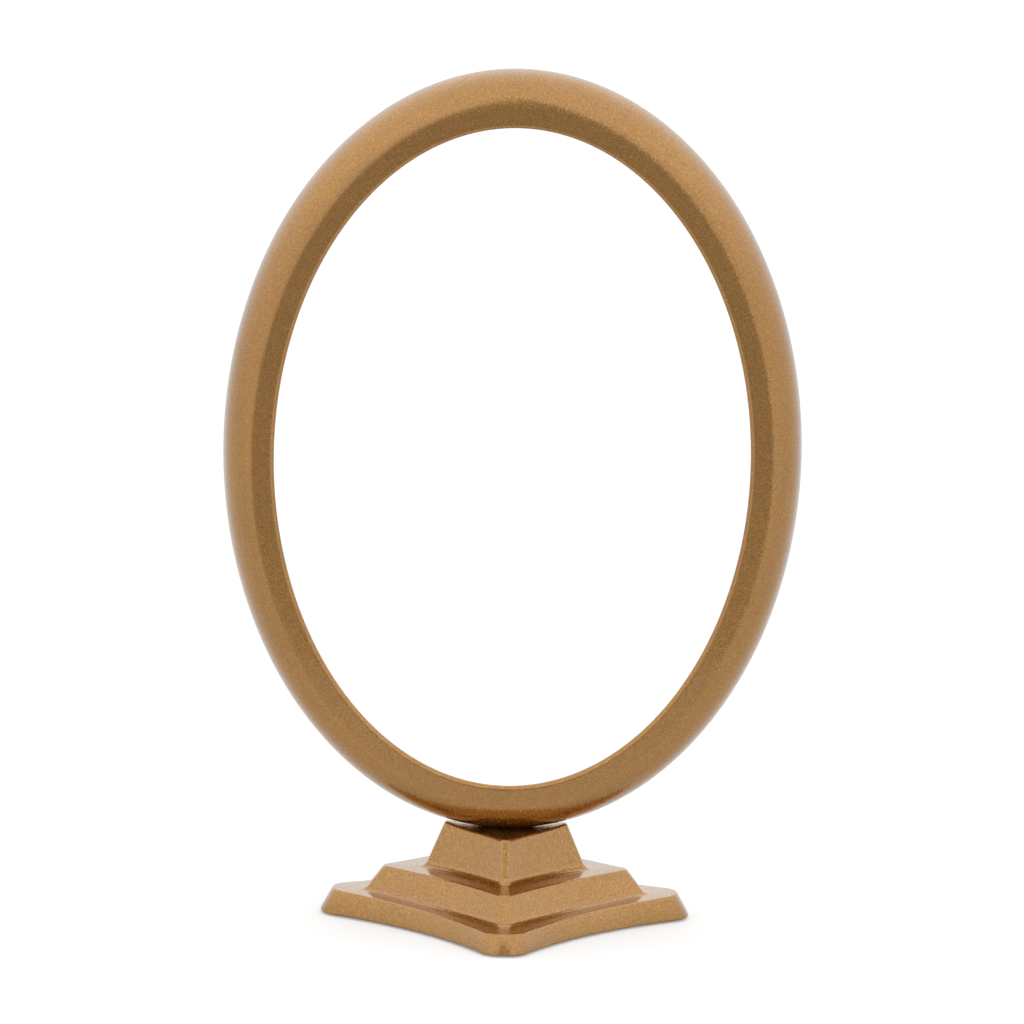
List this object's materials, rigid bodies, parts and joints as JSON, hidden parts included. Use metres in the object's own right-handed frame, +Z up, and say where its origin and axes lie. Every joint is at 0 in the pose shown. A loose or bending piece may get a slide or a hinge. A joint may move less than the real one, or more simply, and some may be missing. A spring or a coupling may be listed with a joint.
{
  "type": "wreath frame",
  "caption": "Upright oval ring for a small wreath or garland, standing on a stepped plinth with hollowed sides.",
  "frame": {"origin": "on the floor under the plinth's centre, which is the bottom centre of the object's box", "axes": "+Z up, -Y towards the front, +X to the right as seen from the front; the ring stands in the XZ plane"},
  "size_m": [0.271, 0.1724, 0.406],
  "materials": {
    "gold_paint": "gold metallic paint with fine flake under a gloss clear coat, on a moulded shell",
    "black_plastic": "fine matt grain",
    "cast_iron": "as cast, oiled",
    "zinc_steel": "bright zinc plate",
    "beech": "planed, unfinished",
    "rubber_pad": "matt moulded"
  },
  "bodies": {
    "root": {"ring_shell": "gold_paint", "ring_back_cover": "gold_paint", "ring_foot_block": "beech", "plinth_shell": "gold_paint", "ballast_block": "cast_iron", "base_plate": "black_plastic", "ring_washer_left": "zinc_steel", "ring_screw_left": "zinc_steel", "ring_washer_right": "zinc_steel", "ring_screw_right": "zinc_steel", "base_screw_front": "zinc_steel", "foot_pad_front": "rubber_pad", "base_screw_right": "zinc_steel", "foot_pad_right": "rubber_pad", "base_screw_back": "zinc_steel", "foot_pad_back": "rubber_pad", "base_screw_left": "zinc_steel", "foot_pad_left": "rubber_pad"}
  },
  "joints": []
}
